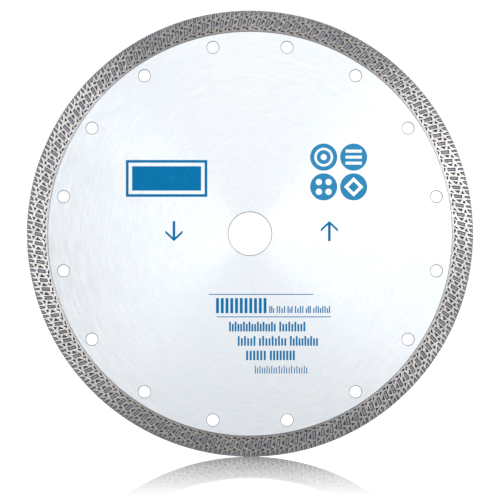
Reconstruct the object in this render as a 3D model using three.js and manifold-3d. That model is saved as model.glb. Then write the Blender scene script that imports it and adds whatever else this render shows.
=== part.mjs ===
// A continuous-rim diamond blade for cutting ceramic and porcelain tile.
// Millimetres, +Z up. The blade stands upright: its spin axis is Y, the origin is the middle of
// the bore, and the printed front face looks towards -Y.
import * as THREE from "three";
import { mergeVertices } from "three/addons/utils/BufferGeometryUtils.js";
import Module from "manifold-3d";

const wasm = await Module();
wasm.setup();

// Driving dimensions of the blade: diameter x rim thickness x rim height x bore.
const BLADE_DIAMETER = 230;
const RIM_THICKNESS = 1.6;
const RIM_HEIGHT = 10;
const BORE_DIAMETER = 22.23;

// The steel core and its ring of cooling holes.
const CORE_THICKNESS = 1.2;
const COOLING_HOLES = 16;
const COOLING_HOLE_DIAMETER = 6;
const COOLING_CIRCLE_DIAMETER = 196;

// The diamond-free foot of the sintered rim, which grips the toothed edge of the core.
const FOOT_HEIGHT = 0.9;
const KEY_TEETH = 72;
const KEY_HEIGHT = 0.5;
const KEY_DRAFT = THREE.MathUtils.degToRad(0.3);

// The moulded mesh pattern. Each cell holds one leaning slot in the middle of the rim's face and
// one leaning notch, which is open at the cutting edge. The back face is half a cell out of step.
const MESH_CELLS = 144;
const POCKET_DEPTH = 0.45;
const PATTERN_RADIUS = 109.3;
const SLOT = { inner: 107.0, outer: 111.0, width: 1.45, lean: 0.95, offset: 4.3 };
const NOTCH = { inner: 112.3, outer: 115.6, width: 0.95, lean: 0.75, offset: 1.0 };

// How finely the round shapes are faceted.
const RING_SEGMENTS = MESH_CELLS;
const BORE_SEGMENTS = 96;
const HOLE_SEGMENTS = 24;

const OUTER_RADIUS = BLADE_DIAMETER / 2;
const RIM_INNER_RADIUS = OUTER_RADIUS - RIM_HEIGHT;
const CORE_RADIUS = RIM_INNER_RADIUS - FOOT_HEIGHT;
const RIM_FACE = RIM_THICKNESS / 2;
const CORE_FACE = CORE_THICKNESS / 2;
const FULL_TURN = 2 * Math.PI;

// A closed geometry as a solid that can be joined and cut.
function toSolid(geometry) {
  const bare = geometry.clone();
  bare.deleteAttribute("normal");
  bare.deleteAttribute("uv");
  const merged = mergeVertices(bare);
  const mesh = new wasm.Mesh({
    numProp: 3,
    vertProperties: merged.attributes.position.array,
    triVerts: new Uint32Array(merged.index.array),
  });
  return new wasm.Manifold(mesh);
}

function toGeometry(solid) {
  const mesh = solid.getMesh();
  const indexed = new THREE.BufferGeometry();
  indexed.setAttribute("position", new THREE.BufferAttribute(mesh.vertProperties, mesh.numProp));
  indexed.setIndex(new THREE.BufferAttribute(mesh.triVerts, 1));
  const flat = indexed.toNonIndexed();
  flat.computeVertexNormals();
  return flat;
}

// A point of the blade's plane, given as radius and angle.
function polar(radius, angle) {
  return new THREE.Vector2(radius * Math.cos(angle), radius * Math.sin(angle));
}

function circlePoints(radius, segments) {
  return Array.from({ length: segments }, (_, i) => polar(radius, (FULL_TURN * i) / segments));
}

// The outline of the core: a circle whose edge is cut into short key teeth.
function toothedPoints() {
  const pitch = FULL_TURN / KEY_TEETH;
  const half = pitch / 2;
  const points = [];
  for (let tooth = 0; tooth < KEY_TEETH; tooth++) {
    const start = tooth * pitch;
    points.push(polar(CORE_RADIUS, start));
    points.push(polar(CORE_RADIUS, start + half));
    points.push(polar(CORE_RADIUS + KEY_HEIGHT, start + half + KEY_DRAFT));
    points.push(polar(CORE_RADIUS + KEY_HEIGHT, start + pitch - KEY_DRAFT));
  }
  return points;
}

// A flat plate with the given outline and holes, drawn in the blade's plane as (x, z) and filling
// y from near to far. The coordinates are only swapped, so plates that share points fit exactly.
function plate(outline, holes, near, far) {
  const shape = new THREE.Shape(outline);
  shape.holes = holes.map((hole) => new THREE.Path(hole));
  const geometry = new THREE.ExtrudeGeometry(shape, { depth: 1, bevelEnabled: false });
  const position = geometry.attributes.position;
  for (let i = 0; i < position.count; i++) {
    const y = position.getZ(i) > 0.5 ? near : far;
    position.setXYZ(i, position.getX(i), y, position.getY(i));
  }
  return geometry;
}

function coolingHole(index) {
  const angle = (FULL_TURN * (index + 0.5)) / COOLING_HOLES;
  const centre = polar(COOLING_CIRCLE_DIAMETER / 2, angle);
  return circlePoints(COOLING_HOLE_DIAMETER / 2, HOLE_SEGMENTS).map((point) => point.add(centre));
}

function steelCore() {
  const bore = circlePoints(BORE_DIAMETER / 2, BORE_SEGMENTS);
  const holes = Array.from({ length: COOLING_HOLES }, (_, i) => coolingHole(i));
  return plate(toothedPoints(), [bore, ...holes], -CORE_FACE, CORE_FACE);
}

// The foot is a channel: a skin on each side of the core's edge and a web that fills its teeth.
function rimFoot() {
  const outer = circlePoints(RIM_INNER_RADIUS, RING_SEGMENTS);
  const inner = circlePoints(CORE_RADIUS, RING_SEGMENTS);
  const front = toSolid(plate(outer, [inner], -RIM_FACE, -CORE_FACE));
  const web = toSolid(plate(outer, [toothedPoints()], -CORE_FACE, CORE_FACE));
  const back = toSolid(plate(outer, [inner], CORE_FACE, RIM_FACE));
  return toGeometry(front.add(web).add(back));
}

// A leaning four-sided pocket, cut into one face of the rim. The offset and lean run clockwise on
// the front face as it is looked at, and clockwise on the back face as that is looked at.
function pocket(shape, cell, side) {
  const stagger = side > 0 ? 0.5 : 0;
  const cellAngle = (FULL_TURN * (cell + stagger)) / MESH_CELLS;
  const corner = (along, radius) => polar(radius, cellAngle + (side * along) / PATTERN_RADIUS);
  const left = shape.offset - shape.lean / 2 - shape.width / 2;
  const outline = [
    corner(left, shape.inner),
    corner(left + shape.width, shape.inner),
    corner(left + shape.width + shape.lean, shape.outer),
    corner(left + shape.lean, shape.outer),
  ];
  const floor = RIM_FACE - POCKET_DEPTH;
  const clear = RIM_FACE + POCKET_DEPTH;
  const [near, far] = side > 0 ? [floor, clear] : [-clear, -floor];
  return toSolid(plate(outline, [], near, far));
}

function diamondRim() {
  const outer = circlePoints(OUTER_RADIUS, RING_SEGMENTS);
  const inner = circlePoints(RIM_INNER_RADIUS, RING_SEGMENTS);
  const ring = toSolid(plate(outer, [inner], -RIM_FACE, RIM_FACE));
  const cutters = [];
  for (let cell = 0; cell < MESH_CELLS; cell++) {
    for (const side of [-1, 1]) {
      cutters.push(pocket(SLOT, cell, side));
      cutters.push(pocket(NOTCH, cell, side));
    }
  }
  return toGeometry(ring.subtract(wasm.Manifold.union(cutters)));
}

function metal(color, roughness) {
  return new THREE.MeshStandardMaterial({ color, roughness, metalness: 1 });
}

function addPart(group, name, geometry, material) {
  const mesh = new THREE.Mesh(geometry, material);
  mesh.name = name;
  group.add(mesh);
}

const blade = new THREE.Group();
addPart(blade, "steel_core", steelCore(), metal(0xeef2f6, 0.35));
addPart(blade, "rim_foot", rimFoot(), metal(0xb9b4b3, 0.55));
addPart(blade, "diamond_rim", diamondRim(), metal(0x9d9896, 0.6));

export default blade;
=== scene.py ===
"""Looks for the continuous-rim diamond blade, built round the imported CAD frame. Metres."""
import math

import bmesh
import bpy
import numpy as np
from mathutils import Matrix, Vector
from mathutils.geometry import delaunay_2d_cdt

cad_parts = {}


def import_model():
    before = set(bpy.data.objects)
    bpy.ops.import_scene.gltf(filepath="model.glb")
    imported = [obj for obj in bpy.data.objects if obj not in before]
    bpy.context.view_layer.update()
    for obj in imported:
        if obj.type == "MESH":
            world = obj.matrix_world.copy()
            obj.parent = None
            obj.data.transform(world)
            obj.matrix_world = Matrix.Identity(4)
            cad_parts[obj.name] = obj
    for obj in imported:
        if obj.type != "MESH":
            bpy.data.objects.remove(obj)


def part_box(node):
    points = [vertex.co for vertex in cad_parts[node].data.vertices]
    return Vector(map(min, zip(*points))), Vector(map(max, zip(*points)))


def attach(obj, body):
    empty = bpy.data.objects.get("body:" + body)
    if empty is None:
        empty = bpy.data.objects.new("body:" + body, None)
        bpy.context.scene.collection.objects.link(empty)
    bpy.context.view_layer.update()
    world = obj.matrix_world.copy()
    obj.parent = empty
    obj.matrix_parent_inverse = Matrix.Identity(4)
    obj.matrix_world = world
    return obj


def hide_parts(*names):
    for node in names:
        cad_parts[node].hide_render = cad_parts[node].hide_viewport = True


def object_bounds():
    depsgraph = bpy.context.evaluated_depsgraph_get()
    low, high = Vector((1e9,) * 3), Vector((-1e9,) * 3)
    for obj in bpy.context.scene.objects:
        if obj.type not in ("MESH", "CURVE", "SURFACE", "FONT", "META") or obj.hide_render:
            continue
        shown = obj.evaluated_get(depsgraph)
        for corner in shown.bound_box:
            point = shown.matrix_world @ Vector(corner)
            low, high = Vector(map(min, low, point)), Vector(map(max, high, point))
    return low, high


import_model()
cad_low, cad_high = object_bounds()

# ---------------------------------------------------------------------------------------------
# Sizes. The blade's plane is X-Z, its spin axis is Y and its printed face looks towards -Y.
# ---------------------------------------------------------------------------------------------
MM = 0.001
FULL_TURN = 2 * math.pi
core_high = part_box("steel_core")[1]
rim_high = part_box("diamond_rim")[1]
OUTER_RADIUS = rim_high[0]
RIM_FACE = rim_high[1]
CORE_FACE = core_high[1]
RIM_HEIGHT = 10.0  # in millimetres, as the drawing of the rim's mesh is
RIM_INNER_RADIUS = OUTER_RADIUS - RIM_HEIGHT * MM
FOOT_HEIGHT = 0.9 * MM
FOOT_INNER_RADIUS = RIM_INNER_RADIUS - FOOT_HEIGHT
FOOT_CHAMFER = 0.14 * MM
KEY_RADIUS = core_high[0]
KEY_TEETH = 72
KEY_STEPS = 4
KEY_DRAFT = math.radians(0.3)
BORE_RADIUS = 22.23 / 2 * MM
BORE_SIDES = 160
COOLING_HOLES = 16
COOLING_RADIUS = 98 * MM
COOLING_HOLE_RADIUS = 3 * MM
COOLING_HOLE_SIDES = 48
HOLE_ROLL = 0.3 * MM
HOLE_ROLL_STEPS = 4
HOLE_FLAT = 0.04 * MM
INK_THICKNESS = 0.03 * MM
INK_SINK = 0.002 * MM


# ---------------------------------------------------------------------------------------------
# Mesh helpers
# ---------------------------------------------------------------------------------------------
def new_object(name, vertices, faces, materials):
    mesh = bpy.data.meshes.new(name)
    mesh.from_pydata(vertices, [], faces)
    for material in materials:
        mesh.materials.append(material)
    obj = bpy.data.objects.new(name, mesh)
    bpy.context.scene.collection.objects.link(obj)
    return obj


def signed_area(outline):
    """Positive when the outline runs anticlockwise."""
    return 0.5 * sum(a[0] * b[1] - b[0] * a[1] for a, b in zip(outline, outline[1:] + outline[:1]))


def fill(outlines):
    """Triangles of the area inside an odd number of the outlines: (points, triangles)."""
    points, rings = [], []
    for outline in outlines:
        outline = outline if signed_area(outline) > 0 else outline[::-1]
        start = len(points)
        points.extend(Vector(p) for p in outline)
        rings.append(list(range(start, len(points))))
    made = delaunay_2d_cdt(points, [], rings, 1, 1e-9)
    triangles = [face for face, origin in zip(made[2], made[5]) if len(origin) % 2 == 1]
    return [tuple(p) for p in made[0]], triangles


def circle(radius, count, centre=(0, 0)):
    angles = [FULL_TURN * i / count for i in range(count)]
    return [(centre[0] + radius * math.cos(a), centre[1] + radius * math.sin(a)) for a in angles]


def band(count):
    """Quads between two closed rings of count points, listed one after the other."""
    return [(i, (i + 1) % count, count + (i + 1) % count, count + i) for i in range(count)]


class Solid:
    """Collects faces of a closed solid, then joins the corners that coincide."""

    def __init__(self):
        self.vertices = []
        self.faces = []
        self.slots = []

    def add(self, vertices, faces, slot=0):
        start = len(self.vertices)
        self.vertices.extend(vertices)
        self.faces.extend(tuple(start + i for i in face) for face in faces)
        self.slots.extend([slot] * len(faces))

    def sheet(self, outlines, y, towards, slot=0):
        """A flat filled area at depth y, looking towards -Y or +Y."""
        points, triangles = fill(outlines)
        turned = []
        for a, b, c in triangles:
            area = signed_area([points[a], points[b], points[c]])
            turned.append((a, b, c) if area * towards < 0 else (a, c, b))
        self.add([(x, y, z) for x, z in points], turned, slot)

    def wall(self, rings, slot=0):
        """Quads between closed rings of the same count, each given as (points, y)."""
        for (near, near_y), (far, far_y) in zip(rings, rings[1:]):
            vertices = [(x, near_y, z) for x, z in near] + [(x, far_y, z) for x, z in far]
            self.add(vertices, band(len(near)), slot)

    def build(self, name, materials, smooth_angle=30, join=1e-7):
        """The object, smooth up to an angle in degrees and with its faces pointing out."""
        obj = new_object(name, self.vertices, self.faces, materials)
        obj.data.polygons.foreach_set("material_index", self.slots)
        work = bmesh.new()
        work.from_mesh(obj.data)
        bmesh.ops.remove_doubles(work, verts=work.verts, dist=join)
        bmesh.ops.recalc_face_normals(work, faces=work.faces)
        work.to_mesh(obj.data)
        work.free()
        obj.data.shade_smooth()
        obj.data.set_sharp_from_angle(angle=math.radians(smooth_angle))
        return obj


# ---------------------------------------------------------------------------------------------
# Shader helpers
# ---------------------------------------------------------------------------------------------
def linear(red, green, blue):
    """A colour given as 0-255 display values, as the linear values that shaders take."""
    channels = [c / 255 for c in (red, green, blue)]
    return (*[c / 12.92 if c <= 0.04045 else ((c + 0.055) / 1.055) ** 2.4 for c in channels], 1)


class Nodes:
    """Adds shader nodes to a tree. Inputs are plain values or the outputs of other nodes."""

    def __init__(self, tree):
        self.tree = tree

    def node(self, kind, inputs=None, **settings):
        made = self.tree.nodes.new("ShaderNode" + kind)
        for key, value in settings.items():
            setattr(made, key, value)
        for key, value in (inputs or {}).items():
            self.feed(made.inputs[key], value)
        return made

    def feed(self, socket, value):
        if isinstance(value, bpy.types.NodeSocket):
            self.tree.links.new(value, socket)
        else:
            socket.default_value = value

    def calc(self, operation, a, b=0.0):
        return self.node("Math", {0: a, 1: b}, operation=operation).outputs[0]

    def remap(self, value, low, high, to_low=0.0, to_high=1.0, curve="LINEAR"):
        inputs = {"Value": value, "From Min": low, "From Max": high, "To Min": to_low, "To Max": to_high}
        return self.node("MapRange", inputs, interpolation_type=curve).outputs["Result"]


class Look(Nodes):
    """A node material round one Principled shader."""

    def __init__(self, name, **constants):
        self.material = bpy.data.materials.new(name)
        self.material.use_nodes = True
        super().__init__(self.material.node_tree)
        self.tree.nodes.clear()
        self.output = self.node("OutputMaterial")
        self.shader = self.node("BsdfPrincipled")
        self.tree.links.new(self.shader.outputs["BSDF"], self.output.inputs["Surface"])
        for key, value in constants.items():
            self.shader.inputs[key.replace("_", " ")].default_value = value

    def drive(self, key, value):
        self.feed(self.shader.inputs[key], value)

    def place(self):
        return self.node("TexCoord").outputs["Object"]

    def brushed(self, across, along):
        """Coordinates for streaks that run round the Y axis, per metre across and per radian along."""
        parts = self.node("SeparateXYZ", {0: self.place()}).outputs
        flat = self.node("CombineXYZ", {0: parts[0], 2: parts[2]}).outputs[0]
        radius = self.node("VectorMath", {0: flat}, operation="LENGTH").outputs["Value"]
        unit = self.node("VectorMath", {0: flat}, operation="NORMALIZE").outputs["Vector"]
        turn = self.node("SeparateXYZ", {0: unit}).outputs
        x = self.calc("MULTIPLY", turn[0], along)
        z = self.calc("MULTIPLY", turn[2], along)
        return self.node("CombineXYZ", {0: self.calc("MULTIPLY", radius, across), 1: x, 2: z}).outputs[0]

    def noise(self, vector, scale=1.0, detail=2.0, roughness=0.5):
        inputs = {"Vector": vector, "Scale": scale, "Detail": detail, "Roughness": roughness}
        return self.node("TexNoise", inputs).outputs["Fac"]

    def grains(self, vector, scale):
        """One random number for each cell of a Voronoi pattern."""
        cells = self.node("TexVoronoi", {"Vector": vector, "Scale": scale}, feature="F1")
        return self.node("SeparateXYZ", {0: cells.outputs["Color"]}).outputs[0]

    def blend(self, factor, a, b):
        made = self.node("Mix", data_type="RGBA")
        self.feed(made.inputs[0], factor)
        self.feed(made.inputs[6], a)
        self.feed(made.inputs[7], b)
        return made.outputs[2]

    def bump(self, height, strength, depth, normal=None):
        inputs = {"Height": height, "Strength": strength, "Distance": depth}
        if normal is not None:
            inputs["Normal"] = normal
        return self.node("Bump", inputs).outputs["Normal"]

    def turned(self, anisotropy):
        """Makes the gloss spread across marks that run round the Y axis."""
        self.shader.inputs["Anisotropic"].default_value = anisotropy
        self.shader.inputs["Anisotropic Rotation"].default_value = 0.25
        tangent = self.node("Tangent", direction_type="RADIAL", axis="Y")
        self.drive("Tangent", tangent.outputs[0])


# ---------------------------------------------------------------------------------------------
# Materials
# ---------------------------------------------------------------------------------------------
def core_steel():
    """Bright steel, brushed in circles, with soft clouds and a fine mottle."""
    look = Look("core_steel", Metallic=1.0)
    look.turned(0.75)
    streaks = look.noise(look.brushed(across=900, along=9), detail=4.0, roughness=0.6)
    hairs = look.noise(look.brushed(across=4200, along=26), detail=2.0, roughness=0.6)
    clouds = look.noise(look.place(), scale=18.0, detail=3.0, roughness=0.55)
    mottle = look.noise(look.place(), scale=900.0, detail=2.0, roughness=0.6)
    tone = look.blend(look.remap(streaks, 0.3, 0.7), linear(206, 210, 214), linear(216, 219, 223))
    tone = look.blend(look.remap(clouds, 0.35, 0.7, 0.0, 0.35), tone, linear(209, 216, 224))
    tone = look.blend(look.remap(mottle, 0.45, 0.75, 0.0, 0.25), tone, linear(200, 204, 209))
    look.drive("Base Color", tone)
    look.drive("Roughness", look.remap(streaks, 0.25, 0.75, 0.2, 0.255))
    normal = look.bump(hairs, strength=0.055, depth=0.02 * MM)
    look.drive("Normal", look.bump(mottle, strength=0.03, depth=0.03 * MM, normal=normal))
    return look.material


def cut_edge_and_painted_shade():
    """The dull wall and rolled edge of a punched hole. Its grey is darker than the cut steel alone, as
    painted shade that rings each hole.
    """
    look = Look("cut_edge_and_painted_shade", Metallic=1.0)
    ripple = look.noise(look.place(), scale=2600.0, detail=3.0, roughness=0.6)
    look.drive("Base Color", look.blend(ripple, linear(62, 64, 68), linear(104, 106, 111)))
    look.drive("Roughness", look.remap(ripple, 0.3, 0.7, 0.4, 0.6))
    look.drive("Normal", look.bump(ripple, strength=0.3, depth=0.03 * MM))
    return look.material


def sinter(name, dark, light, speck, rough, anisotropy=0.0):
    """Sintered bond: a granular metal with brighter and darker grains, and grinding marks."""
    dark, light, speck = linear(*dark), linear(*light), linear(*speck)
    look = Look(name, Metallic=1.0)
    if anisotropy:
        look.turned(anisotropy)
    place = look.place()
    grain = look.grains(place, scale=3200.0)
    lumps = look.noise(place, scale=1500.0, detail=3.0, roughness=0.65)
    drift = look.noise(place, scale=60.0)
    marks = look.noise(look.brushed(across=3600, along=30))
    tone = look.blend(look.remap(lumps, 0.3, 0.7), dark, light)
    tone = look.blend(look.remap(grain, 0.82, 0.9, 0.0, 0.6), tone, speck)
    tone = look.blend(look.remap(drift, 0.35, 0.7, 0.0, 0.4), tone, dark)
    look.drive("Base Color", tone)
    look.drive("Roughness", look.remap(lumps, 0.2, 0.8, rough - 0.07, rough + 0.1))
    normal = look.bump(lumps, strength=0.35, depth=0.06 * MM)
    look.drive("Normal", look.bump(marks, strength=0.12, depth=0.02 * MM, normal=normal))
    return look.material


def blue_ink(name, dark, light, worn):
    """Screen-printed ink with a fine grain, paler where it is worn."""
    dark, light, worn = linear(*dark), linear(*light), linear(*worn)
    look = Look(name, Specular_IOR_Level=0.03)
    place = look.place()
    grain = look.noise(place, scale=2200.0, detail=3.0, roughness=0.6)
    wear = look.noise(place, scale=260.0, detail=3.0, roughness=0.6)
    tone = look.blend(look.remap(grain, 0.3, 0.75), dark, light)
    tone = look.blend(look.remap(wear, 0.55, 0.8, 0.0, 0.35), tone, worn)
    look.drive("Base Color", tone)
    look.drive("Roughness", look.remap(grain, 0.3, 0.7, 0.38, 0.55))
    look.drive("Normal", look.bump(grain, strength=0.1, depth=0.02 * MM))
    return look.material


CORE_STEEL = core_steel()
CUT_EDGE_AND_PAINTED_SHADE = cut_edge_and_painted_shade()
RIB = sinter("sinter_rib", (122, 119, 118), (158, 155, 153), (206, 203, 201), 0.48, 0.88)
# Near-black painted shade: the pocket walls, the floors of the smallest pockets and the foot's chamfer
# take it, where shade falls in the recesses.
WALL_PAINTED_SHADE = sinter("sinter_wall_painted_shade", (20, 19, 22), (38, 36, 40), (60, 58, 61), 0.65)
FLOOR = sinter("sinter_floor", (83, 85, 92), (113, 116, 124), (145, 147, 154), 0.6)
# A darker floor colour for the arrow and upper corner pockets, as painted shade in these narrow
# recesses.
PIT_PAINTED_SHADE = sinter("sinter_pit_painted_shade", (56, 54, 58), (88, 85, 90), (118, 115, 118), 0.62)
FOOT = sinter("sinter_foot", (113, 111, 112), (145, 143, 143), (181, 179, 179), 0.48, 0.85)
INK = blue_ink("blue_ink", (0, 60, 92), (0, 70, 104), (12, 82, 113))
PALE_INK = blue_ink("pale_blue_ink", (22, 75, 103), (28, 83, 111), (42, 93, 119))


# ---------------------------------------------------------------------------------------------
# Core and foot
# ---------------------------------------------------------------------------------------------
def keyed_edge():
    """The toothed outline of the core, which the foot of the rim grips."""
    pitch = FULL_TURN / KEY_TEETH
    points = []
    for tooth in range(KEY_TEETH):
        start = tooth * pitch
        spans = [
            (FOOT_INNER_RADIUS, start, start + pitch / 2),
            (KEY_RADIUS, start + pitch / 2 + KEY_DRAFT, start + pitch - KEY_DRAFT),
        ]
        for radius, first, last in spans:
            for step in range(KEY_STEPS + 1):
                angle = first + (last - first) * step / KEY_STEPS
                points.append((radius * math.cos(angle), radius * math.sin(angle)))
    return points


def build_core():
    """The steel plate, with the edge of the bore and of each cooling hole rolled in by the punch.
    A narrow flat ring outside each roll keeps the shading of the big faces flat."""
    holes = [(BORE_RADIUS, (0, 0), BORE_SIDES)]
    for index in range(COOLING_HOLES):
        angle = FULL_TURN * (index + 0.5) / COOLING_HOLES
        centre = (COOLING_RADIUS * math.cos(angle), COOLING_RADIUS * math.sin(angle))
        holes.append((COOLING_HOLE_RADIUS, centre, COOLING_HOLE_SIDES))
    edge = keyed_edge()
    flat = HOLE_ROLL + HOLE_FLAT
    mouths = [circle(radius + flat, count, centre) for radius, centre, count in holes]
    solid = Solid()
    solid.sheet([edge, *mouths], -CORE_FACE, -1)
    solid.sheet([edge, *mouths], CORE_FACE, 1)
    solid.wall([(edge, -CORE_FACE), (edge, CORE_FACE)])
    for (radius, centre, count), mouth in zip(holes, mouths):
        levels = [(mouth, CORE_FACE)]
        for step in range(HOLE_ROLL_STEPS + 1):
            angle = math.pi / 2 * step / HOLE_ROLL_STEPS
            ring = circle(radius + HOLE_ROLL * (1 - math.sin(angle)), count, centre)
            levels.append((ring, CORE_FACE - HOLE_ROLL * (1 - math.cos(angle))))
        front = [(ring, -y) for ring, y in levels]
        # The flat ring, roll and wall of each hole carry the cut-edge steel with its painted shade ring.
        solid.wall(front + levels[::-1], slot=1)
    return solid.build("core_plate", [CORE_STEEL, CUT_EDGE_AND_PAINTED_SHADE])


def build_foot():
    """The foot of the rim: a skin on each side of the core's edge, and a web that fills its teeth."""
    count = 2 * KEY_TEETH * KEY_STEPS
    skin = circle(FOOT_INNER_RADIUS, count)
    lip = circle(FOOT_INNER_RADIUS + FOOT_CHAMFER, count)
    outer = circle(RIM_INNER_RADIUS, count)
    edge = keyed_edge()
    solid = Solid()
    for side in (-1, 1):
        chamfer = [(lip, side * RIM_FACE), (skin, side * (RIM_FACE - FOOT_CHAMFER))]
        solid.wall([(outer, side * RIM_FACE), (lip, side * RIM_FACE)])
        # The chamfer round the core takes the near-black painted shade.
        solid.wall([*chamfer, (skin, side * CORE_FACE)], slot=1)
        solid.sheet([skin, edge], side * CORE_FACE, -side)
    solid.wall([(edge, -CORE_FACE), (edge, CORE_FACE)])
    solid.wall([(outer, -RIM_FACE), (outer, RIM_FACE)])
    return solid.build("rim_foot_band", [FOOT, WALL_PAINTED_SHADE])


# ---------------------------------------------------------------------------------------------
# Diamond rim. One cell of the moulded mesh is drawn flat, in millimetres: along runs clockwise
# round the face as it is looked at, and up runs from the rim's inner edge to its cutting edge.
# ---------------------------------------------------------------------------------------------
CELLS = 144
PATTERN_RADIUS = 109.3
PITCH = FULL_TURN * PATTERN_RADIUS / CELLS
INNER_STEPS = 4  # even, so that the inner corners of the two faces line up
POCKET_DEPTH = 0.45
LIP = 0.05
LIP_DEPTH = 0.04
DRAFT = 0.32
MOST_DRAFT = 0.62  # as a share of twice the pocket's area over its perimeter
CORNER = 0.16
CELL_SIDE = [
    (0.13, 0),
    (0.13, 1.2),
    (0.45, 2.5),
    (0.75, 3.4),
    (1.3, 5.6),
    (1.45, 6.4),
    (1.75, 7.6),
    (2.25, RIM_HEIGHT),
]
CLOSED_POCKETS = {
    "slot": [(2.95, 1.95), (4.75, 2.05), (5.85, 5.9), (4.15, 6.15)],
    "arrow": [(0.95, 2.7), (3.0, 4.45), (1.75, 5.65)],
    "upper_corner": [(3.35, 5.75), (4.0, 7.5), (2.0, 6.7)],
    "lower_corner": [(1.4, 0.45), (2.45, 2.5), (0.42, 1.05)],
    "dash": [(2.05, 0.5), (4.6, 0.15), (3.7, 1.05), (2.6, 1.2)],
}
OPEN_POCKETS = {
    "wedge": [(2.15, 7.55), (3.7, 8.5), (5.9, 11.5), (2.85, 11.5)],
    "notch": [(4.77, 7.15), (5.77, 7.15), (7.2, 11.5), (5.6, 11.5)],
}
RIM_MATERIALS = [RIB, WALL_PAINTED_SHADE, FLOOR, PIT_PAINTED_SHADE]
RIB_SLOT, WALL_PAINTED_SHADE_SLOT, FLOOR_SLOT, PIT_PAINTED_SHADE_SLOT = range(4)
# Each pocket's floor colour. Smaller pockets get darker floors as painted shade: the pit colour, and the
# near-black wall colour in the smallest.
POCKET_FLOORS = {
    "slot": FLOOR_SLOT,
    "arrow": PIT_PAINTED_SHADE_SLOT,
    "upper_corner": PIT_PAINTED_SHADE_SLOT,
    "lower_corner": WALL_PAINTED_SHADE_SLOT,
    "dash": WALL_PAINTED_SHADE_SLOT,
    "wedge": FLOOR_SLOT,
    "notch": FLOOR_SLOT,
}


def offset(outline, distance):
    """An anticlockwise outline moved outwards, its corners kept sharp."""
    lines = []
    for a, b in zip(outline, outline[1:] + outline[:1]):
        run, rise = b[0] - a[0], b[1] - a[1]
        length = math.hypot(run, rise)
        lines.append((a[0] + rise / length * distance, a[1] - run / length * distance, run, rise))
    moved = []
    for (px, py, pu, pv), (qx, qy, qu, qv) in zip(lines[-1:] + lines[:-1], lines):
        t = ((qx - px) * qv - (qy - py) * qu) / (pu * qv - pv * qu)
        moved.append((px + t * pu, py + t * pv))
    return moved


def rounded(outline, radius, steps=2):
    """The outline with each corner replaced by a short curve."""
    points = []
    for i, here in enumerate(outline):
        corner = Vector(here)
        before = Vector(outline[i - 1]) - corner
        after = Vector(outline[(i + 1) % len(outline)]) - corner
        cut = radius / math.tan(before.angle(after) / 2)
        cut = min(cut, 0.4 * before.length, 0.4 * after.length)
        start, end = corner + before.normalized() * cut, corner + after.normalized() * cut
        for step in range(steps + 1):
            t = step / steps
            points.append(tuple((1 - t) ** 2 * start + 2 * t * (1 - t) * corner + t * t * end))
    return points


def levels_of(outline):
    """The pocket's outline at its lip, at the top of its wall and at its floor, each with its depth.
    The walls all slope alike, so a pocket that is too narrow for the full draft is shallower."""
    around = sum(math.dist(a, b) for a, b in zip(outline, outline[1:] + outline[:1]))
    draft = min(DRAFT, MOST_DRAFT * 2 * signed_area(outline) / around)
    moves = [(LIP, 0.0), (0.0, LIP_DEPTH), (-draft, POCKET_DEPTH * draft / DRAFT)]
    corners = [CORNER + LIP, CORNER, CORNER / 2]
    return [(rounded(offset(outline, move), r), depth) for (move, depth), r in zip(moves, corners)]


def below_edge(outline):
    """The stretch of an outline below the cutting edge, from its left crossing to its right one."""
    count = len(outline)
    first = next(i for i in range(count) if outline[i - 1][1] > RIM_HEIGHT >= outline[i][1])
    ordered = outline[first:] + outline[:first]
    inside = [p for p in ordered if p[1] <= RIM_HEIGHT]

    def crossing(a, b):
        t = (RIM_HEIGHT - a[1]) / (b[1] - a[1])
        return (a[0] + t * (b[0] - a[0]), RIM_HEIGHT)

    return [crossing(ordered[-1], inside[0]), *inside, crossing(inside[-1], ordered[len(inside)])]


def stretch(start, end, longest=1.0):
    """Points between two places on one level, both ends left out."""
    count = max(1, math.ceil(abs(end - start) / longest))
    return [start + (end - start) * i / count for i in range(1, count)]


def inner_edge(count):
    """The first points along the cell's inner edge, from its left side."""
    return [CELL_SIDE[0][0] + PITCH * i / INNER_STEPS for i in range(count)]


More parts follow.
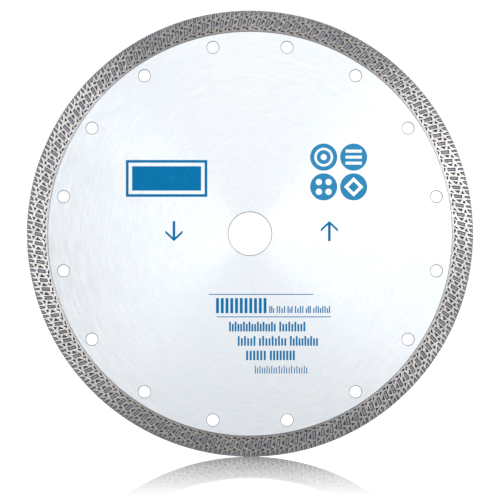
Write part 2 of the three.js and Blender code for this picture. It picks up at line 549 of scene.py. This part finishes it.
class Cell:
    """The points (along, up, depth) and faces of one cell of one face of the rim."""

    def __init__(self):
        self.points = []
        self.faces = []
        self.slots = []
        self.closed = [levels_of(outline) for outline in CLOSED_POCKETS.values()]
        self.open = [
            [(below_edge(line), depth) for line, depth in levels_of(outline)]
            for outline in OPEN_POCKETS.values()
        ]
        self.surface()
        for name, levels in zip([*CLOSED_POCKETS, *OPEN_POCKETS], self.closed + self.open):
            self.pocket(name, levels)

    def add(self, points, faces, slot):
        start = len(self.points)
        self.points.extend(points)
        self.faces.extend(tuple(start + i for i in face) for face in faces)
        self.slots.extend([slot] * len(faces))

    def surface(self):
        """The top of the ribs: the cell's outline, round the open pockets and less the closed ones."""
        outline = [(along, 0.0) for along in inner_edge(INNER_STEPS)]
        outline += [(along + PITCH, up) for along, up in CELL_SIDE]
        here = CELL_SIDE[-1][0] + PITCH
        for levels in reversed(self.open):
            lip = levels[0][0][::-1]
            outline += [(along, RIM_HEIGHT) for along in stretch(here, lip[0][0])] + lip
            here = lip[-1][0]
        outline += [(along, RIM_HEIGHT) for along in stretch(here, CELL_SIDE[-1][0])]
        outline += CELL_SIDE[:0:-1]
        points, triangles = fill([outline] + [levels[0][0] for levels in self.closed])
        self.add([(along, up, 0.0) for along, up in points], triangles, RIB_SLOT)

    def pocket(self, name, levels):
        """A pocket's lip, wall and floor. The ring of an open one stops at the cutting edge."""
        # Lips take the rib colour and walls the near-black painted shade.
        for slot, (near, near_depth), (far, far_depth) in zip((RIB_SLOT, WALL_PAINTED_SHADE_SLOT), levels, levels[1:]):
            faces = band(len(near))
            if name in OPEN_POCKETS:
                faces.pop()
            points = [(*p, near_depth) for p in near] + [(*p, far_depth) for p in far]
            self.add(points, faces, slot)
        bottom, depth = levels[-1]
        self.add([(*p, depth) for p in bottom], [tuple(range(len(bottom)))], POCKET_FLOORS[name])

    def edge_profile(self):
        """Where the cell meets the cutting edge: (along, depth), from its left side to its right."""
        profile = [(CELL_SIDE[-1][0], 0.0)]
        for levels in self.open:
            profile += [(along, 0.0) for along in stretch(profile[-1][0], levels[0][0][0][0])]
            profile += [(line[0][0], depth) for line, depth in levels]
            profile += [(line[-1][0], depth) for line, depth in reversed(levels)]
        right = CELL_SIDE[-1][0] + PITCH
        profile += [(along, 0.0) for along in stretch(profile[-1][0], right)]
        return profile + [(right, 0.0)]


def build_rim():
    """The ring of cells on both faces, the cutting edge between them and the inner wall."""
    cell = Cell()
    solid = Solid()
    inner, half = RIM_INNER_RADIUS / MM, RIM_FACE / MM
    # The back is half a cell out of step with the front.
    back_start = PITCH / 2 - 2 * CELL_SIDE[0][0]

    def ring_copies(points, faces, slots):
        """Adds a copy for each cell. Points are (anticlockwise distance from the front, radius, y)."""
        along, radius, y = np.array(points, float).T
        for index in range(CELLS):
            angle = along / PATTERN_RADIUS + FULL_TURN * index / CELLS
            x, z = radius * np.cos(angle), radius * np.sin(angle)
            vertices = (np.stack([x, y, z], axis=1) * MM).tolist()
            start = len(solid.vertices)
            solid.vertices.extend(vertices)
            solid.faces.extend(tuple(start + i for i in face) for face in faces)
            solid.slots.extend(slots)

    front = [(-along, inner + up, depth - half) for along, up, depth in cell.points]
    back = [(back_start + along, inner + up, half - depth) for along, up, depth in cell.points]
    ring_copies(front, cell.faces, cell.slots)
    ring_copies(back, cell.faces, cell.slots)

    # The back's profile is slid by whole cells until it starts level with the front's, or up to a
    # cell further round.
    profile = cell.edge_profile()
    front_edge = [(-along, depth - half) for along, depth in reversed(profile)]
    shift = round((front_edge[0][0] - back_start - profile[0][0]) / PITCH) * PITCH
    back_edge = [(back_start + along + shift, half - depth) for along, depth in profile]
    slack = 0.1
    if back_edge[0][0] < front_edge[0][0] - slack:
        back_edge = [(along + PITCH, y) for along, y in back_edge]
    points, triangles = fill([front_edge + back_edge[::-1]])
    rim_edge = [(along, inner + RIM_HEIGHT, y) for along, y in points]
    ring_copies(rim_edge, triangles, [RIB_SLOT] * len(triangles))

    count = INNER_STEPS + 1
    inside = [(-along, inner, y) for y in (-half, half) for along in inner_edge(count)]
    quads = [(i, i + 1, i + count + 1, i + count) for i in range(INNER_STEPS)]
    ring_copies(inside, quads, [RIB_SLOT] * INNER_STEPS)
    return solid.build("mesh_rim", RIM_MATERIALS, smooth_angle=25, join=1e-6)


core = build_core()
foot = build_foot()
rim = build_rim()
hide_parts("steel_core")
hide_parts("rim_foot")
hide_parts("diamond_rim")
for piece in (core, foot, rim):
    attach(piece, "root")


# ---------------------------------------------------------------------------------------------
# Printed marks on the front face: (right, up) in millimetres from the middle of the bore. They are
# plain shapes and rows of strokes that say nothing.
# ---------------------------------------------------------------------------------------------
def ink(name, outlines, material=INK):
    """One printed mark. Outlines inside outlines are bare steel and ink by turns."""
    flat = [[(x * MM, z * MM) for x, z in outline] for outline in outlines]
    top, base = -CORE_FACE - INK_THICKNESS, -CORE_FACE + INK_SINK
    solid = Solid()
    solid.sheet(flat, top, -1)
    solid.sheet(flat, base, 1)
    for outline in flat:
        solid.wall([(outline, top), (outline, base)])
    mark = solid.build(name, [material])
    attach(mark, "root")
    return mark


def box(left, bottom, right, top):
    return [(left, bottom), (right, bottom), (right, top), (left, top)]


def box_at(x, z, half_width, half_height):
    return box(x - half_width, z - half_height, x + half_width, z + half_height)


MIXED_HEIGHTS = (1.0, 0.78, 1.0, 0.78, 0.78)


def strokes(left, right, bottom, top, groups, width, spacing=1.65, heights=MIXED_HEIGHTS):
    """A row of upright strokes in groups of the given shares. Spacing is in stroke widths, and the
    heights are shares of the row's height, taken in turn."""
    space = 2.0 * width
    usable = right - left - space * (len(groups) - 1)
    outlines, here, count = [], left, 0
    for group in groups:
        span = usable * group / sum(groups)
        number = max(2, round((span / width - 1) / spacing) + 1)
        pitch = (span - width) / (number - 1)
        for index in range(number):
            x = here + index * pitch
            tall = (top - bottom) * heights[count % len(heights)]
            outlines.append(box(x, bottom, x + width, bottom + tall))
            count += 1
        here += span + space
    return outlines


def arrow(x, tip, towards):
    """An open arrow with its tip at the given height, pointing up (1) or down (-1)."""
    half, stem = 0.69, 10.4
    right = [(0, 0), (4.43, -4.15), (4.43, -5.65), (half, -2.1), (half, -stem)]
    outline = right + [(-a, b) for a, b in right[:0:-1]]
    return [(x + a, tip + towards * b) for a, b in outline]


def panel_marks():
    """A blank panel in a thin frame."""
    x, z = -43.0, 28.5
    ink("mark_frame", [box_at(x, z, 21.0, 9.5), box_at(x, z, 19.6, 8.1)])
    ink("mark_panel", [box_at(x, z, 17.8, 6.3)])


def disc_marks():
    """Four discs, each with a plain bare figure."""
    left, right, upper, lower, radius = 38.0, 53.45, 39.5, 24.15, 7.0

    def disc(x, z):
        return circle(radius, 72, (x, z))

    rings = [circle(r, 72, (left, upper)) for r in (4.85, 3.6, 1.6)]
    bars = [box_at(right, upper + rise, 4.2, 0.76) for rise in (-3.1, 0.0, 3.1)]
    dots = [circle(1.62, 32, (left + a, lower + b)) for a in (-2.5, 2.5) for b in (-2.5, 2.5)]
    diamonds = [circle(r, 4, (right, lower)) for r in (5.0, 2.8)]
    ink("mark_disc_target", [disc(left, upper), *rings], PALE_INK)
    ink("mark_disc_bars", [disc(right, upper), *bars], PALE_INK)
    ink("mark_disc_dots", [disc(left, lower), *dots], PALE_INK)
    ink("mark_disc_rhombus", [disc(right, lower), *diamonds], PALE_INK)


def row_marks():
    """Two thin rules and six rows of strokes."""
    even = (1.0,)
    ink("mark_rule_upper", [box(-21.2, -31.5, 32.6, -31.05)])
    ink("mark_rule_lower", [box(-17.25, -43.1, 41.7, -42.65)])
    ink("mark_row_heavy", strokes(-17.5, 8.5, -41.0, -33.2, [1], 1.5, 1.6, even))
    small_groups, small_heights = [3, 5, 3, 5, 3, 10], (1.0, 1.0, 0.7)
    ink("mark_row_small", strokes(9.9, 41.3, -40.9, -37.3, small_groups, 0.62, 1.9, small_heights))
    ink("mark_row_1", strokes(-10.8, 28.5, -50.4, -45.4, [61, 34], 0.95, 1.55))
    ink("mark_row_2", strokes(-6.3, 35.0, -57.8, -52.8, [22, 34, 35], 0.95))
    ink("mark_row_3", strokes(-2.0, 23.1, -65.2, -60.3, [41, 52], 1.05, 1.65, even))
    ink("mark_row_4", strokes(2.5, 29.5, -72.1, -68.1, [5, 3, 3], 0.5, 2.3))


panel_marks()
ink("mark_arrow_left", [arrow(-39.2, -3.9, -1)])
ink("mark_arrow_right", [arrow(40.9, 6.6, 1)])
disc_marks()
row_marks()


# ---------------------------------------------------------------------------------------------
# Stage, light and camera
# ---------------------------------------------------------------------------------------------
FLOOR_RADIUS = 8.0
FLOOR_SEEN = 0.95
FLOOR_GLOW = 0.5
POLISH_HALF_WIDTH = 0.069
POLISH_SOFT_EDGE = 0.01
POLISH_LENGTH = 0.34
FRONT_LIGHT = 0.85
BACK_LIGHT = 1.04
OVERHEAD_LIGHT = 0.2
WHITE = (1.0, 1.0, 1.0)
RIGHT_COLOUR = (0.975, 0.99, 1.0)
LEFT_COLOUR = (0.94, 0.98, 1.0)
KEY_SIZE = (0.5, 0.5)
KEY_LIGHTS = [
    # name, degrees round the face from +X, radiance, colour
    ("right_low", 12, 42.0, RIGHT_COLOUR),
    ("right_high", 35, 29.0, RIGHT_COLOUR),
    ("left_high", 142, 29.0, LEFT_COLOUR),
    ("left_low", 168, 23.0, LEFT_COLOUR),
]
TOP_PLACE = (0.02, 0.16, 0.36)
TOP_SIZE = (0.3, 0.14)
TOP_RADIANCE = 6.3
CARD_PLACE = (0.12, 0.6, 0.12)
CARD_SIZE = (0.5, 0.5)
CARD_RADIANCE = 0.66
BEHIND_POWER = 0.12


def floor():
    """A white floor. The camera sees a narrow polished strip on it in front of the blade, which fades
    with the distance from the blade."""
    look = Look("pale_floor", Roughness=0.6)
    seen = look.node("LightPath").outputs["Is Camera Ray"]
    look.drive("Emission Strength", look.remap(seen, 0.0, 1.0, FLOOR_GLOW, FLOOR_SEEN))
    look.drive("Base Color", (0.08, 0.08, 0.08, 1))
    look.drive("Emission Color", (1, 1, 1, 1))
    across, depth = look.node("SeparateXYZ", {0: look.place()}).outputs[:2]
    ahead = look.calc("MULTIPLY", depth, -1.0)
    side = look.calc("ABSOLUTE", across)
    within = look.remap(side, POLISH_HALF_WIDTH, POLISH_HALF_WIDTH + POLISH_SOFT_EDGE, 1.0, 0.0)
    fade = look.remap(ahead, 0.0, POLISH_LENGTH, 1.0, 0.0)
    in_front = look.remap(ahead, -0.05, -0.002, 0.0, 1.0)
    grazing = look.node("LayerWeight", {"Blend": 0.5}).outputs["Facing"]
    share = look.calc("POWER", grazing, 2.0)
    for factor in (fade, in_front, within, seen):
        share = look.calc("MULTIPLY", share, factor)
    polish = look.node("BsdfGlossy", {"Roughness": 0.015}).outputs[0]
    mixed = look.node("MixShader", {0: share, 1: look.shader.outputs[0], 2: polish})
    look.feed(look.output.inputs["Surface"], mixed.outputs[0])
    points = circle(FLOOR_RADIUS, 96)
    vertices = [(x, y, cad_low[2]) for x, y in points]
    plane = new_object("pale_floor", vertices, [tuple(range(len(points)))], [look.material])


def world():
    """A white room as the camera sees it. Its light is brightest near the horizon, behind the blade
    and beside it, and dimmer in front of it and overhead."""
    sky = bpy.data.worlds.new("studio")
    sky.use_nodes = True
    nodes = Nodes(sky.node_tree)
    towards = nodes.node("TexCoord").outputs["Generated"]
    _, depth, up = nodes.node("SeparateXYZ", {0: towards}).outputs
    by_height = nodes.remap(nodes.calc("ABSOLUTE", up), 0.2, 0.75, 1.0, OVERHEAD_LIGHT, "SMOOTHSTEP")
    by_depth = nodes.remap(depth, -0.5, -0.05, FRONT_LIGHT, BACK_LIGHT, "SMOOTHSTEP")
    light = nodes.calc("MULTIPLY", by_height, by_depth)
    seen = nodes.node("LightPath").outputs["Is Camera Ray"]
    background = sky.node_tree.nodes["Background"]
    nodes.feed(background.inputs["Strength"], nodes.calc("MAXIMUM", light, seen))
    nodes.feed(background.inputs["Color"], (1, 1, 1, 1))
    bpy.context.scene.world = sky


def softbox(name, place, size, radiance, colour):
    """A rectangular light that faces the middle of the blade."""
    width, height = size
    light = bpy.data.lights.new(name, "AREA")
    light.shape = "RECTANGLE"
    light.size, light.size_y = width, height
    light.energy = radiance * math.pi * width * height
    light.color = colour
    obj = bpy.data.objects.new(name, light)
    obj.location = place
    obj.rotation_euler = (-Vector(place)).to_track_quat("-Z", "Y").to_euler()
    obj.visible_camera = False
    bpy.context.scene.collection.objects.link(obj)


def at_angle(side, turn, distance=1.6, lean=math.radians(52)):
    """A place off the blade's axis, in front (-1) or behind (1), turned round the face from +X."""
    turn = math.radians(turn)
    out = distance * math.sin(lean)
    return (out * math.cos(turn), side * distance * math.cos(lean), out * math.sin(turn))


def lights():
    """The same softboxes in front of the blade and behind it, where all but the card are weaker."""
    for side, name, power in ((-1, "front", 1.0), (1, "back", BEHIND_POWER)):
        for key, turn, radiance, colour in KEY_LIGHTS:
            softbox(f"{name}_{key}", at_angle(side, turn), KEY_SIZE, radiance * power, colour)
        x, y, z = TOP_PLACE
        softbox(f"{name}_top", (x, side * y, z), TOP_SIZE, TOP_RADIANCE * power, WHITE)
        x, y, z = CARD_PLACE
        softbox(f"{name}_card", (x, side * y, z), CARD_SIZE, CARD_RADIANCE, WHITE)


def camera():
    """A long lens, level, that looks along +Y and frames the blade with its reflection."""
    lens, sensor, frame_width, height = 200.0, 36.0, 257.9 * MM, -8.4 * MM
    data = bpy.data.cameras.new("camera")
    data.lens = lens
    data.sensor_width = sensor
    data.clip_start, data.clip_end = 0.01, 100
    obj = bpy.data.objects.new("camera", data)
    obj.location = (0.0, -frame_width * lens / sensor, height)
    obj.rotation_euler = (math.pi / 2, 0, 0)
    bpy.context.scene.collection.objects.link(obj)
    bpy.context.scene.camera = obj


camera()
floor()
world()
lights()
bpy.context.scene.view_settings.view_transform = "Standard"
